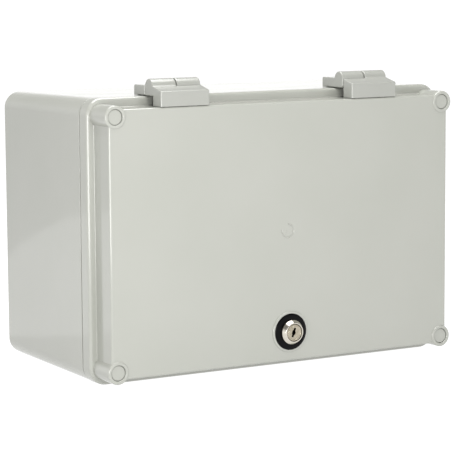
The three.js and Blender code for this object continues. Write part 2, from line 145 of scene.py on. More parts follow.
world = bpy.data.worlds.new("room")
scene.world = world
room = empty_tree(world)
direction = add_node(room, "ShaderNodeTexCoord")
height = add_node(room, "ShaderNodeSeparateXYZ", {0: direction.outputs["Generated"]})
dimming = add_node(room, "ShaderNodeMapRange", {
    "Value": height.outputs["Z"], "From Min": DIM_FROM, "From Max": DIM_TO,
    "To Min": HORIZON_LIGHT, "To Max": CEILING_LIGHT,
}, interpolation_type="SMOOTHSTEP")
glow = add_node(room, "ShaderNodeBackground", {"Color": (1, 1, 1, 1), "Strength": dimming.outputs[0]})
add_node(room, "ShaderNodeOutputWorld", {"Surface": glow.outputs[0]})

floor_mesh = bpy.data.meshes.new("floor")
floor_corners = [(-FLOOR_HALF, -FLOOR_HALF, 0), (FLOOR_HALF, -FLOOR_HALF, 0),
                 (FLOOR_HALF, FLOOR_HALF, 0), (-FLOOR_HALF, FLOOR_HALF, 0)]
floor_mesh.from_pydata(floor_corners, [], [(0, 1, 2, 3)])
floor = bpy.data.objects.new("floor", floor_mesh)
scene.collection.objects.link(floor)
table_paint = bpy.data.materials.new("pale_table")
paint = empty_tree(table_paint)
table_look = add_node(paint, "ShaderNodeBsdfPrincipled", {
    "Base Color": (TABLE_GREY, TABLE_GREY, TABLE_GREY, 1), "Roughness": 0.9, "Specular IOR Level": 0.1,
    "Emission Color": (1, 1, 1, 1), "Emission Strength": TABLE_GLOW,
})
add_node(paint, "ShaderNodeOutputMaterial", {"Surface": table_look.outputs[0]})
floor_mesh.materials.append(table_paint)
print("room light:", HORIZON_LIGHT, "at the horizon,", CEILING_LIGHT, "overhead")

# %% [markdown]
# ## The lamps
#
# Three softboxes light the box. One hangs overhead and turns the top almost white. One stands in
# front, a little to the left and above, and gives the lid most of its light: near light falls off
# quickly, which is why the lid darkens towards the right. The third is low and wide at the left,
# close to the table, where the rounded upright edges mirror it as bright lines. The front softbox
# is kept out of reflections, so that it leaves no hard spot on the face or on the polished lock.
#
# A round card at the left, near the back corner, adds no light to the box: it only shows up as a
# pale oval in the glossy left wall. An area light shines along its own -Z, so it is aimed in the
# same way as the camera, and all four are hidden from the camera itself.

# %% Softboxes
def softbox(name, place, aim, width, depth, watts, shape="RECTANGLE", **seen_by):
    light = bpy.data.lights.new(name, "AREA")
    light.shape = shape
    light.size = width
    light.size_y = depth
    light.energy = watts
    lamp = bpy.data.objects.new(name, light)
    lamp.location = place
    lamp.rotation_mode = "QUATERNION"
    lamp.rotation_quaternion = (Vector(aim) - Vector(place)).to_track_quat("-Z", "Y")
    lamp.visible_camera = False
    for rays, seen in seen_by.items():
        setattr(lamp, rays, seen)
    scene.collection.objects.link(lamp)
    print(name, watts, "W,", width, "x", depth, "m")


BOX_MIDDLE = (0, 0, 0.11)
softbox("overhead_softbox", (0.0, 0.08, 1.5), BOX_MIDDLE, 1.3, 1.4, 35)
softbox("left_softbox", (-0.57, -0.56, 0.10), BOX_MIDDLE, 0.6, 0.3, 3.0)
softbox("front_softbox", (-0.25, -0.86, 0.5), BOX_MIDDLE, 0.5, 0.5, 5.6, visible_glossy=False)
softbox("oval_card", (-0.251, 0.121, -0.005), (-0.15, -0.05, 0.02), 0.21, 0.21, 0.035, "ELLIPSE",
        visible_diffuse=False)
scene.view_settings.view_transform = "Standard"

# %% [markdown]
# ## Finishes
#
# Moulded plastic is never one flat colour. Up close its skin has a fine orange peel, and over
# a hand's width the panel is slightly wavy, which bends the reflections. Both are noise in object
# coordinates, fed to a Bump node; a third, slow noise shifts the colour by a percent or two and
# the gloss by a little more. Object coordinates are metres here, so a scale of 1000 means
# features of about a millimetre.

# %% Plastic
def noise(tree, coordinates, scale, detail=2.0):
    made = add_node(tree, "ShaderNodeTexNoise", {"Vector": coordinates, "Scale": scale, "Detail": detail})
    return made.outputs["Fac"]


def between(tree, value, low, high, from_low=0.3, from_high=0.7):
    made = add_node(tree, "ShaderNodeMapRange", {
        "Value": value, "From Min": from_low, "From Max": from_high, "To Min": low, "To Max": high,
    })
    return made.outputs["Result"]


def bump(tree, height, distance, strength=1.0, under=None):
    sockets = {"Height": height, "Distance": distance, "Strength": strength}
    if under is not None:
        sockets["Normal"] = under
    return add_node(tree, "ShaderNodeBump", sockets).outputs["Normal"]


def blended_colour(tree, value, first, second):
    made = add_node(tree, "ShaderNodeMix", {0: value, 6: (*first, 1), 7: (*second, 1)}, data_type="RGBA")
    return made.outputs[2]


def plastic(name, dark, light, gloss, skin_scale, skin_depth, wave_depth, **constants):
    made = bpy.data.materials.new(name)
    tree = empty_tree(made)
    place = add_node(tree, "ShaderNodeTexCoord").outputs["Object"]
    tone = between(tree, noise(tree, place, 14.0, 4.0), 0.0, 1.0)
    skin = bump(tree, noise(tree, place, skin_scale), skin_depth)
    waves = bump(tree, noise(tree, place, 9.0, 0.0), wave_depth, under=skin)
    look = add_node(tree, "ShaderNodeBsdfPrincipled", {
        "Base Color": blended_colour(tree, tone, dark, light),
        "Roughness": between(tree, noise(tree, place, 30.0, 3.0), *gloss),
        "Normal": waves,
        **constants,
    })
    add_node(tree, "ShaderNodeOutputMaterial", {"Surface": look.outputs[0]})
    return made


PALE_SHEEN = {"IOR": 1.5, "Specular IOR Level": 0.85}
BLACK_SHEEN = {"IOR": 1.5, "Specular IOR Level": 0.08}
finishes = {
    "shell_plastic": plastic("moulded_shell", (0.297, 0.303, 0.271), (0.310, 0.314, 0.284), (0.09, 0.13),
                             1400.0, 0.00001, 0.0012, **PALE_SHEEN),
    "hinge_plastic": plastic("satin_hinge", (0.262, 0.267, 0.243), (0.278, 0.282, 0.258), (0.12, 0.17),
                             2600.0, 0.00003, 0.0003, **PALE_SHEEN),
    "black_trim": plastic("glossy_black", (0.002, 0.002, 0.0024), (0.004, 0.004, 0.0044), (0.14, 0.2),
                          1800.0, 0.00001, 0.0002, **BLACK_SHEEN),
}
print("plastics:", sorted(finishes))

# %% [markdown]
# Metals take their colour from what they reflect. Zinc plate is dull, with a slow blue-yellow drift
# from its bath, and fine grain. The lock's nickel is turned and polished, so its roughness follows
# rings round the lock's axis: a Wave texture of rings about Y, with a Mapping node that moves its
# middle onto the axis. The plug's face is worn duller and browner than the polished head round it,
# so the distance from the axis picks the colour. The seal is closed-cell foam, and a Voronoi bump
# gives it its pores; the same pattern paints the pits darker than their rims, which is painted shade.

# %% Metal and foam
LOCK_X = 3.2
LOCK_Z = -74.0
PLUG_RADIUS = 6.2


def zinc(name):
    made = bpy.data.materials.new(name)
    tree = empty_tree(made)
    place = add_node(tree, "ShaderNodeTexCoord").outputs["Object"]
    drift = between(tree, noise(tree, place, 90.0, 2.0), 0.0, 1.0)
    look = add_node(tree, "ShaderNodeBsdfPrincipled", {
        "Base Color": blended_colour(tree, drift, (0.60, 0.62, 0.66), (0.68, 0.66, 0.58)),
        "Metallic": 1.0,
        "Roughness": between(tree, noise(tree, place, 400.0, 3.0), 0.28, 0.42),
        "Normal": bump(tree, noise(tree, place, 2500.0), 0.00002),
    })
    add_node(tree, "ShaderNodeOutputMaterial", {"Surface": look.outputs[0]})
    return made


def turned_nickel(name):
    made = bpy.data.materials.new(name)
    tree = empty_tree(made)
    place = add_node(tree, "ShaderNodeTexCoord").outputs["Object"]
    axis = (-LOCK_X * METRES, 0, -(LOCK_Z * METRES + MIDDLE_Z))
    centred = add_node(tree, "ShaderNodeMapping", {"Vector": place, "Location": axis})
    rings = add_node(tree, "ShaderNodeTexWave", {
        "Vector": centred.outputs[0], "Scale": 700.0, "Distortion": 1.5, "Detail": 2.0,
    }, wave_type="RINGS", rings_direction="Y")
    spot = add_node(tree, "ShaderNodeSeparateXYZ", {0: centred.outputs[0]})
    flat_spot = add_node(tree, "ShaderNodeCombineXYZ", {"X": spot.outputs["X"], "Z": spot.outputs["Z"]})
    across = add_node(tree, "ShaderNodeVectorMath", {0: flat_spot.outputs[0]}, operation="LENGTH")
    worn_to, polished_from = PLUG_RADIUS * METRES, (PLUG_RADIUS + 0.2) * METRES
    polish = between(tree, across.outputs["Value"], 0.0, 1.0, worn_to, polished_from)
    worn = blended_colour(tree, between(tree, noise(tree, place, 400.0), 0.0, 1.0),
                          (0.33, 0.295, 0.22), (0.45, 0.41, 0.33))
    look = add_node(tree, "ShaderNodeBsdfPrincipled", {
        "Base Color": add_node(tree, "ShaderNodeMix", {0: polish, 6: worn, 7: (0.60, 0.565, 0.50, 1)},
                               data_type="RGBA").outputs[2],
        "Metallic": 1.0,
        "Roughness": between(tree, rings.outputs["Fac"], 0.12, 0.24, 0.0, 1.0),
        "Normal": bump(tree, rings.outputs["Fac"], 0.000004),
    })
    add_node(tree, "ShaderNodeOutputMaterial", {"Surface": look.outputs[0]})
    return made


def foam(name):
    made = bpy.data.materials.new(name)
    tree = empty_tree(made)
    place = add_node(tree, "ShaderNodeTexCoord").outputs["Object"]
    pores = add_node(tree, "ShaderNodeTexVoronoi", {"Vector": place, "Scale": 1100.0})
    look = add_node(tree, "ShaderNodeBsdfPrincipled", {
        # The pits of the pores are painted darker than their rims: painted shade in the hollows of the foam.
        "Base Color": blended_colour(tree, pores.outputs["Distance"],
                                     (0.012, 0.012, 0.012), (0.05, 0.05, 0.05)),
        "Roughness": between(tree, noise(tree, place, 300.0), 0.8, 0.95),
        "Normal": bump(tree, pores.outputs["Distance"], 0.0002, 0.6),
    })
    add_node(tree, "ShaderNodeOutputMaterial", {"Surface": look.outputs[0]})
    return made


finishes["zinc_steel"] = zinc("zinc_plate")
finishes["nickel"] = turned_nickel("turned_nickel")
finishes["seal_foam"] = foam("foam_cord")
print("all finishes:", sorted(finishes))

# %% [markdown]
# ## Meshes from numbers
#
# Three ways of making a mesh cover nearly every part here. `loft` skins a stack of rings, as for a
# moulded shell whose edges round over; `lathe` spins an outline round an axis, as a lathe does; and
# `prism` pushes a flat outline along an axis, as an extruder does. Each one closes its ends and then
# asks bmesh to point every face outwards.

# %% Loft, lathe and prism
def closed_mesh(name, points, faces):
    mesh = bpy.data.meshes.new(name)
    mesh.from_pydata(points, [], faces)
    work = bmesh.new()
    work.from_mesh(mesh)
    bmesh.ops.recalc_face_normals(work, faces=work.faces)
    work.to_mesh(mesh)
    work.free()
    return mesh


def skin_loops(loops, ends_meet=False):
    count = len(loops[0])
    points = [point for loop in loops for point in loop]
    pairs = [(i, i + 1) for i in range(len(loops) - 1)]
    if ends_meet:
        pairs.append((len(loops) - 1, 0))
    faces = [
        (a * count + i, a * count + (i + 1) % count, b * count + (i + 1) % count, b * count + i)
        for a, b in pairs for i in range(count)
    ]
    if not ends_meet:
        last = (len(loops) - 1) * count
        faces.append(tuple(range(count)))
        faces.append(tuple(range(last, last + count)))
    return points, faces


def arc(middle_a, middle_b, radius, start, end, steps=12):
    angles = [start + (end - start) * i / steps for i in range(steps + 1)]
    return [(middle_a + radius * cos(angle), middle_b + radius * sin(angle)) for angle in angles]


def rounded_rectangle(half_w, half_h, radius, steps=12):
    corners = [(1, 1, 0), (-1, 1, 1), (-1, -1, 2), (1, -1, 3)]
    outline = []
    for side_x, side_z, quarter in corners:
        outline += arc(side_x * (half_w - radius), side_z * (half_h - radius), radius,
                       quarter * pi / 2, (quarter + 1) * pi / 2, steps)
    return outline


def loft(name, rings, steps=12):
    """rings: a list of (y, half width, half height, corner radius), front to back."""
    loops = [[(x, y, z) for x, z in rounded_rectangle(w, h, r, steps)] for y, w, h, r in rings]
    return closed_mesh(name, *skin_loops(loops))


def lathe(name, outline, x=0.0, z=0.0, segments=72):
    """outline: a closed list of (radius, y). A point on the axis has radius 0."""
    points, rows = [], []
    for radius, y in outline:
        if radius == 0:
            rows.append([len(points)] * segments)
            points.append((x, y, z))
            continue
        rows.append(list(range(len(points), len(points) + segments)))
        for i in range(segments):
            angle = 2 * pi * i / segments
            points.append((x + radius * cos(angle), y, z + radius * sin(angle)))
    faces = []
    for row, after in zip(rows, rows[1:] + rows[:1]):
        for i in range(segments):
            j = (i + 1) % segments
            corners = list(dict.fromkeys((row[i], row[j], after[j], after[i])))
            if len(corners) > 2:
                faces.append(tuple(corners))
    return closed_mesh(name, points, faces)


def prism(name, outline, axis, start, end):
    """outline: points in the two other axes, in the order x, y, z."""
    place = {
        "X": lambda a, b, along: (along, a, b),
        "Y": lambda a, b, along: (a, along, b),
        "Z": lambda a, b, along: (a, b, along),
    }[axis]
    loops = [[place(a, b, along) for a, b in outline] for along in (start, end)]
    return closed_mesh(name, *skin_loops(loops))


def rod(axis, a, b, radius, start, end, segments=32):
    outline = arc(a, b, radius, 0, 2 * pi * (segments - 1) / segments, segments - 1)
    return prism("rod", outline, axis, start, end)

# %% [markdown]
# ## Joining, cutting and softening edges
#
# Modifiers do the carpentry. A mesh is put on a working object, the modifiers are stacked on it, and
# `new_from_object` reads back the finished result as a plain mesh. The exact Boolean solver keeps
# every solid closed, and Bevel softens the edges that are sharper than a given angle, because no
# moulded or stamped edge is ever a perfect corner. In the end, faces meet smoothly except at
# angles over about 33 degrees, and weighted normals keep large flat panels looking flat.

# %% Modifiers as tools
def applied(mesh, set_up):
    holder = bpy.data.objects.new("work", mesh)
    scene.collection.objects.link(holder)
    helpers = set_up(holder) or []
    bpy.context.view_layer.update()
    result = bpy.data.meshes.new_from_object(holder.evaluated_get(bpy.context.evaluated_depsgraph_get()))
    for used in [holder, *helpers]:
        bpy.data.objects.remove(used)
    return result


def boolean(operation, mesh, tools):
    def set_up(holder):
        helpers = []
        for tool in tools:
            helper = bpy.data.objects.new("tool", tool)
            scene.collection.objects.link(helper)
            step = holder.modifiers.new("boolean", "BOOLEAN")
            step.operation = operation
            step.solver = "EXACT"
            step.object = helper
            helpers.append(helper)
        return helpers
    return applied(mesh, set_up)


def joined(mesh, *tools):
    return boolean("UNION", mesh, tools)


def without_seams(mesh):
    """Merges the faces that a union has left side by side in one plane."""
    work = bmesh.new()
    work.from_mesh(mesh)
    bmesh.ops.remove_doubles(work, verts=work.verts, dist=0.001)
    bmesh.ops.dissolve_limit(work, angle_limit=radians(0.5), verts=work.verts, edges=work.edges)
    work.to_mesh(mesh)
    work.free()
    return mesh


def cut(mesh, *tools):
    return boolean("DIFFERENCE", mesh, tools)


def softened(mesh, width, segments=4, angle=35):
    def set_up(holder):
        step = holder.modifiers.new("bevel", "BEVEL")
        step.width = width
        step.segments = segments
        step.limit_method = "ANGLE"
        step.angle_limit = radians(angle)
    return applied(mesh, set_up)


def smoothed(mesh):
    mesh.polygons.foreach_set("use_smooth", [True] * len(mesh.polygons))
    mesh.set_sharp_from_angle(angle=radians(33))

    def set_up(holder):
        step = holder.modifiers.new("weighted normals", "WEIGHTED_NORMAL")
        step.keep_sharp = True
    return applied(mesh, set_up)

# %% [markdown]
# Every finished mesh goes through one last function. It carries the mesh into the frame, gives it
# the finish of its material slot, hangs it on the body it moves with, and hides the imported nodes
# it stands for.

# %% Finished pieces
def piece(name, mesh, slot, body, *nodes):
    made = smoothed(mesh)
    made.transform(TO_FRAME)
    made.name = name
    made.materials.clear()
    made.materials.append(finishes[slot])
    made.polygons.foreach_set("material_index", [0] * len(made.polygons))
    thing = bpy.data.objects.new(name, made)
    scene.collection.objects.link(thing)
    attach(thing, body)
    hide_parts(*nodes)
    triangles = sum(len(face.vertices) - 2 for face in made.polygons)
    print(f"{name}: {triangles} triangles, for {', '.join(nodes)}")
    return thing

# %% [markdown]
# ## Shared sizes
#
# The lid's band and the tub meet edge to edge, and both carry the four corner screw bosses and the
# hinge screws, so those sizes come first.

# %% Sizes that parts share
CORNERS = [(side_x, side_z) for side_x in (-1, 1) for side_z in (-1, 1)]
BAND_HALF_W, BAND_HALF_H, BAND_CORNER = 150.7, 102.6, 13.0
BAND_FRONT, BAND_BACK = 22.5, 34.0
BOSS_X, BOSS_Z = 140.0, 90.3
HINGE_WIDTH = 39.6
HINGE_STARTS = {"left": -103.4, "right": 58.1}
LEAF_SCREW_INSET = 8.0
LID_SCREW_Y, BODY_SCREW_Y = 6.6, 37.6
SCREW_HOLE = 1.8


def rounded_end(y, half_w, half_h, corner, radius, side, steps=8):
    """Rings that round an edge over, ending at depth y; side is -1 for a front edge, 1 for a back one."""
    rings = []
    for i in range(steps + 1):
        angle = i / steps * pi / 2
        inward = radius * (1 - cos(angle))
        ring_y = y - side * radius * (1 - sin(angle))
        rings.append((ring_y, half_w - inward, half_h - inward, corner - inward))
    return rings[::-1] if side < 0 else rings


def leaf_screw_spots(y):
    insets = (LEAF_SCREW_INSET, HINGE_WIDTH - LEAF_SCREW_INSET)
    return [(start + inset, y) for start in HINGE_STARTS.values() for inset in insets]


print("hinge screws at x =", [round(x, 1) for x, _ in leaf_screw_spots(LID_SCREW_Y)])

# %% [markdown]
# ## The tub
#
# The tub is one deep moulding with walls that lean in slightly towards the back, so that it leaves
# its mould, and a generous radius round the back edge. A loft is the natural way: the same kind of
# ring, a little smaller towards the back. The hollow is a second loft, cut out around four solid
# corner columns. Feet for wall screws stand on the back, and two small pads carry the keeper. The
# first millimetre is a narrower neck, which leaves a fine dark joint line between tub and lid.

# %% Tub sizes and outlines
TUB_INSET, TUB_WALL, TUB_BACK, TUB_DRAFT = 0.3, 3.8, 170.0, 1.9
TUB_FRONT = BAND_BACK + 0.3
COLUMN_REACH, COLUMN_HOLE, COLUMN_HOLE_DEPTH = 7.0, 2.1, 26.0
FOOT_X, FOOT_Z, FOOT_RADIUS, FOOT_BACK = 136.0, 80.5, 8.0, 173.0
FOOT_EDGE, FOOT_HOLE = 0.7, 2.6
NECK_STEPS = [(0.0, 1.0), (0.9, 1.0), (0.95, 0.15), (1.1, 0.0)]
KEEPER_SCREWS = [(-11.0, 45.2), (9.0, 45.2)]
PAD_RADIUS, PAD_TOP, KEEPER_PILOT = 4.0, -96.9, 1.3


def tub_outside():
    half_w, half_h = BAND_HALF_W - TUB_INSET, BAND_HALF_H - TUB_INSET
    rings = [(TUB_FRONT + back, half_w - inward, half_h - inward, BAND_CORNER - inward)
             for back, inward in NECK_STEPS]
    return rings + rounded_end(TUB_BACK, half_w - TUB_DRAFT, half_h - TUB_DRAFT, 12.0, 8.0, 1, 12)


def tub_hollow():
    half_w, half_h = BAND_HALF_W - TUB_INSET - TUB_WALL, BAND_HALF_H - TUB_INSET - TUB_WALL
    corner = BAND_CORNER - TUB_WALL
    rings = [(BAND_BACK - 1, half_w, half_h, corner)]
    rings += rounded_end(TUB_BACK - TUB_WALL, half_w - TUB_DRAFT, half_h - TUB_DRAFT, corner - 1, 4.2, 1)
    return rings


def corner_column(side_x, side_z):
    near_x, near_z = side_x * (BOSS_X - COLUMN_REACH), side_z * (BOSS_Z - COLUMN_REACH)
    far_x, far_z = side_x * (BAND_HALF_W + 2), side_z * (BAND_HALF_H + 2)
    inner = 2.0
    quarters = {(1, 1): (pi, 1.5 * pi), (1, -1): (pi, pi / 2),
                (-1, 1): (2 * pi, 1.5 * pi), (-1, -1): (0, pi / 2)}
    outline = arc(near_x + side_x * inner, near_z + side_z * inner, inner, *quarters[side_x, side_z], 6)
    outline += [(far_x, near_z), (far_x, far_z), (near_x, far_z)]
    return prism("column", outline, "Y", TUB_FRONT, TUB_BACK + 2)


foot_outline = [(0, TUB_BACK - 2), (FOOT_RADIUS, TUB_BACK - 2), (FOOT_RADIUS, FOOT_BACK - FOOT_EDGE)]
foot_outline += arc(FOOT_RADIUS - FOOT_EDGE, FOOT_BACK - FOOT_EDGE, FOOT_EDGE, 0, pi / 2, 4)[1:]
foot_outline += [(0, FOOT_BACK)]
foot_hole = [(0, TUB_BACK - 8), (FOOT_HOLE, TUB_BACK - 8), (FOOT_HOLE, FOOT_BACK - 0.4),
             (3.0, FOOT_BACK + 0.02), (3.0, FOOT_BACK + 1), (0, FOOT_BACK + 1)]
print("rings in the tub's outside:", len(tub_outside()), "and in its hollow:", len(tub_hollow()))

# %% Tub
columns = [corner_column(*corner) for corner in CORNERS]
hollow = cut(loft("hollow", tub_hollow()), *columns)
tub = cut(loft("tub", tub_outside()), hollow)
feet = [lathe("foot", foot_outline, side_x * FOOT_X, side_z * FOOT_Z) for side_x, side_z in CORNERS]
pads = [rod("Z", x, y, PAD_RADIUS, -100.0, PAD_TOP, 40) for x, y in KEEPER_SCREWS]
tub = joined(tub, *feet, *pads)
holes = [lathe("hole", foot_hole, side_x * FOOT_X, side_z * FOOT_Z, 40) for side_x, side_z in CORNERS]
holes += [rod("Y", side_x * BOSS_X, side_z * BOSS_Z, COLUMN_HOLE, BAND_BACK, BAND_BACK + COLUMN_HOLE_DEPTH)
          for side_x, side_z in CORNERS]
holes += [rod("Z", x, y, KEEPER_PILOT, -101.0, PAD_TOP + 0.3) for x, y in KEEPER_SCREWS]
holes += [rod("Z", x, y, SCREW_HOLE, 96.0, 104.0) for x, y in leaf_screw_spots(BODY_SCREW_Y)]
piece("tub", cut(tub, *holes), "shell_plastic", "body", "tub")

# %% [markdown]
# ## The lid
#
# The lid is a shallow tray: a raised, flat panel with a tight radius round its face, and a wider
# band round it that meets the tub. Both outlines are rounded rectangles, so one loft runs from the
# face edge down the raised wall, through a small fillet in the crease, out across the band and over
# its round shoulder. Round bosses are then joined on at the corners.

# %% Lid sizes
LID_HALF_W, LID_HALF_H, LID_CORNER, LID_WALL, LID_EDGE = 145.0, 95.7, 5.0, 3.0, 1.5
CREASE = 0.7
SHOULDER = 2.2
SEAL_HALF_W, SEAL_HALF_H, SEAL_CORNER, SEAL_WIDTH, SEAL_FLOOR = 148.5, 100.4, 10.8, 3.2, 28.0
BOSS_RADIUS, BOSS_LEDGE, BOSS_BORE, BOSS_RECESS = 8.25, 2.4, 4.9, 5.6
BOSS_BORE_DEPTH, BOSS_SCREW_HOLE, POST_RADIUS = 14, 2.6, 8.0
BAND_BACK_STEPS = [(0.6, 0), (0.2, 0.25), (0, 0.8)]
print("lid face in mm:", 2 * LID_HALF_W, "x", 2 * LID_HALF_H)

# %% Lid outlines
def lid_outside():
    rings = rounded_end(0, LID_HALF_W, LID_HALF_H, LID_CORNER, LID_EDGE, -1)
    for i in range(7):
        angle = i / 6 * pi / 2
        out = CREASE * (1 - cos(angle))
        crease_y = BAND_FRONT - CREASE * (1 - sin(angle))
        rings.append((crease_y, LID_HALF_W + out, LID_HALF_H + out, LID_CORNER + out))
    rings += rounded_end(BAND_FRONT, BAND_HALF_W, BAND_HALF_H, BAND_CORNER, SHOULDER, -1)
    for front, inward in BAND_BACK_STEPS:
        rings.append((BAND_BACK - front, BAND_HALF_W - inward, BAND_HALF_H - inward, BAND_CORNER - inward))
    return rings


def boss_outline():
    rim = 1.25
    outline = [(0, -BOSS_PROUD)]
    outline += arc(BOSS_RADIUS - rim, -BOSS_PROUD + rim, rim, -pi / 2, 0, 8)
    return outline + [(BOSS_RADIUS, BAND_FRONT + 2), (0, BAND_FRONT + 2)]


def boss_bore():
    rim = 0.9
    edge = arc(BOSS_RECESS + rim, -BOSS_PROUD + rim, rim, 1.5 * pi, pi, 6)
    return [(0, -3), (BOSS_RECESS + rim, -3), *edge, (BOSS_RECESS, BOSS_LEDGE), (BOSS_BORE, BOSS_LEDGE),
            (BOSS_BORE, BOSS_BORE_DEPTH), (BOSS_SCREW_HOLE, BOSS_BORE_DEPTH),
            (BOSS_SCREW_HOLE, BAND_BACK + 2), (0, BAND_BACK + 2)]


def seal_groove():
    inner = rounded_rectangle(SEAL_HALF_W - SEAL_WIDTH, SEAL_HALF_H - SEAL_WIDTH, SEAL_CORNER - SEAL_WIDTH)
    outer = rounded_rectangle(SEAL_HALF_W, SEAL_HALF_H, SEAL_CORNER)
    core = prism("core", inner, "Y", SEAL_FLOOR - 1, BAND_BACK + 2)
    return cut(prism("groove", outer, "Y", SEAL_FLOOR, BAND_BACK + 1), core)


def posts():
    outline = [(0, 0), (POST_RADIUS, 0), (POST_RADIUS, BAND_BACK + 2), (0, BAND_BACK + 2)]
    return [lathe("post", outline, side_x * BOSS_X, side_z * BOSS_Z, 48) for side_x, side_z in CORNERS]

# %% Lid moulding
inside = rounded_end(LID_WALL, LID_HALF_W - LID_WALL, LID_HALF_H - LID_WALL, 3.0, 1.2, -1, 5)
inside.append((BAND_BACK + 1, LID_HALF_W - LID_WALL, LID_HALF_H - LID_WALL, 3.0))
bosses = [lathe("boss", boss_outline(), side_x * BOSS_X, side_z * BOSS_Z) for side_x, side_z in CORNERS]
lid = cut(joined(loft("lid", lid_outside()), *bosses), cut(loft("inside", inside), *posts()), seal_groove())
print("faces in the plain moulding:", len(lid.polygons))

# %% [markdown]
# Two details are moulded into the face. A low collar with a rounded shoulder stands round the
# lock's ring. The gate, where the mould was filled, leaves a broken ring and two pips in the middle.
# All are lathed shapes: the collar and the pips are joined on, and the broken ring is cut in. The
# holes for the screws and the lock are cut at the same time.

# %% Collar, gate mark and holes
RING_RADIUS = 13.5
COLLAR_RADIUS, COLLAR_PROUD, COLLAR_EDGE = 15.3, 0.9, 0.8
GATE_X, GATE_Z = 1.6, 1.0
PIPS = [(-1.4, -0.4), (-4.4, -2.2)]
LOCK_HOLE = 8.2

collar_inner = RING_RADIUS + 0.08
collar_outline = [(collar_inner, 1.5), (collar_inner, 0.15 - COLLAR_PROUD),
                  (collar_inner + 0.15, -COLLAR_PROUD)]
collar_outline += arc(COLLAR_RADIUS - COLLAR_EDGE, COLLAR_EDGE - COLLAR_PROUD, COLLAR_EDGE, -pi / 2, 0, 8)
collar_outline += [(COLLAR_RADIUS, 1.5)]
cuts = [lathe("bore", boss_bore(), side_x * BOSS_X, side_z * BOSS_Z) for side_x, side_z in CORNERS]
gate_outline = [(3.9, -1), (5.8, -1), (5.6, 0.05), (5.2, 0.4), (4.6, 0.4), (4.2, 0.05)]
gate_gap = prism("gap", [(GATE_X - 8, GATE_Z + 1), (GATE_X, GATE_Z + 1), (GATE_X, GATE_Z + 8),
                         (GATE_X - 8, GATE_Z + 8)], "Y", -2, 2)
cuts.append(cut(lathe("gate mark", gate_outline, GATE_X, GATE_Z), gate_gap))
cuts += [rod("Z", x, y, SCREW_HOLE, LID_HALF_H - LID_WALL - 1, LID_HALF_H + 1)
         for x, y in leaf_screw_spots(LID_SCREW_Y)]
lid = cut(lid, *cuts)
pip_outline = [(0, 1), (0.9, 1), (0.85, -0.06), (0.6, -0.2), (0, -0.24)]
pips = [lathe("pip", pip_outline, GATE_X + x, GATE_Z + z, 24) for x, z in PIPS]
lid = joined(lid, lathe("collar", collar_outline, LOCK_X, LOCK_Z, 96), *pips)
lid = cut(lid, lathe("lock hole", [(0, -3), (LOCK_HOLE, -3), (LOCK_HOLE, 5), (0, 5)], LOCK_X, LOCK_Z, 72))
piece("lid", lid, "shell_plastic", "lid", "lid")

# %% [markdown]
# ## Boss caps
#
# Each boss is closed by a small round cap that sits on a ledge just below the rim, over the hole
# for a corner screw. It is a turned shape with a soft edge and a face that sags very slightly.

# %% Caps
CAP_RADIUS, CAP_EDGE, CAP_LOOSE = BOSS_RECESS - 0.2, 0.5, 0.3
STEM_RADIUS, STEM_DEPTH = BOSS_BORE - CAP_LOOSE, 7
cap_outline = [(0, 0.1), (2.0, 0.08), (3.6, 0.04)]
cap_outline += arc(CAP_RADIUS - CAP_EDGE, CAP_EDGE, CAP_EDGE, -pi / 2, 0, 5)
cap_outline += [(CAP_RADIUS, BOSS_LEDGE - CAP_LOOSE), (STEM_RADIUS, BOSS_LEDGE - CAP_LOOSE),
                (STEM_RADIUS, STEM_DEPTH), (0, STEM_DEPTH)]
for side_x, side_z in CORNERS:
    cap_name = f"boss_cap_{'top' if side_z > 0 else 'bottom'}_{'left' if side_x < 0 else 'right'}"
    cap = lathe(cap_name, cap_outline, side_x * BOSS_X, side_z * BOSS_Z)
    piece(cap_name, cap, "shell_plastic", "lid", cap_name)

# %% [markdown]
# ## The seal
#
# A foam cord lies in the groove of the band and is pressed flat by the tub's rim. It is the groove's
# own outline, 0.2 mm smaller all round, with rounded long edges from a Bevel.

# %% Seal
SEAL_GAP = 0.2
seal_outer = rounded_rectangle(SEAL_HALF_W - SEAL_GAP, SEAL_HALF_H - SEAL_GAP, SEAL_CORNER - SEAL_GAP)
inset = SEAL_WIDTH - SEAL_GAP
seal_inner = rounded_rectangle(SEAL_HALF_W - inset, SEAL_HALF_H - inset, SEAL_CORNER - inset)
seal = cut(prism("seal", seal_outer, "Y", SEAL_FLOOR + 0.3, BAND_BACK),
           prism("inner", seal_inner, "Y", SEAL_FLOOR - 1, BAND_BACK + 1))
piece("lid_seal", softened(seal, 0.7), "seal_foam", "lid", "lid_seal")

# %% [markdown]
# ## The hinges
#
# Each hinge has two leaves. The lid's leaf is a block with a sloping top, screwed to the raised wall;
# the tub's leaf is a square block behind it. Each leaf carries one knuckle, one wide and one narrow,
# and a steel pin runs through both. On the left hinge the wide knuckle belongs to the lid, on the
# right hinge to the tub. Every part is a side outline pushed across. Block and knuckle are softened
# by a Bevel before they are joined, so that each keeps its own round edges; both reach a little too
# low at first and are cut off flat, which leaves a crisp line where they stand on the box.

# %% Hinge outlines
PIN_Y, PIN_Z, PIN_HOLE = 18.3, 109.4, 2.1
KNUCKLE_RADIUS = 5.7
WIDE_KNUCKLE, KNUCKLE_GAP = 19.5, 0.8
LEAF_EDGE = 1.0
LID_LEAF_FRONT_TOP, LID_LEAF_DEPTH = 106.9, 12
SLOPE = (110.03 - LID_LEAF_FRONT_TOP) / 12.635
BODY_LEAF_FRONT, BODY_LEAF_BACK, BODY_LEAF_TOP = 24.6, 40.5, 110.2
LID_UNDER, BODY_UNDER = LID_HALF_H + 0.3, 102.6
LID_KNUCKLE_UNDER, BODY_KNUCKLE_UNDER = 102.95, 103
EXTRA = 2

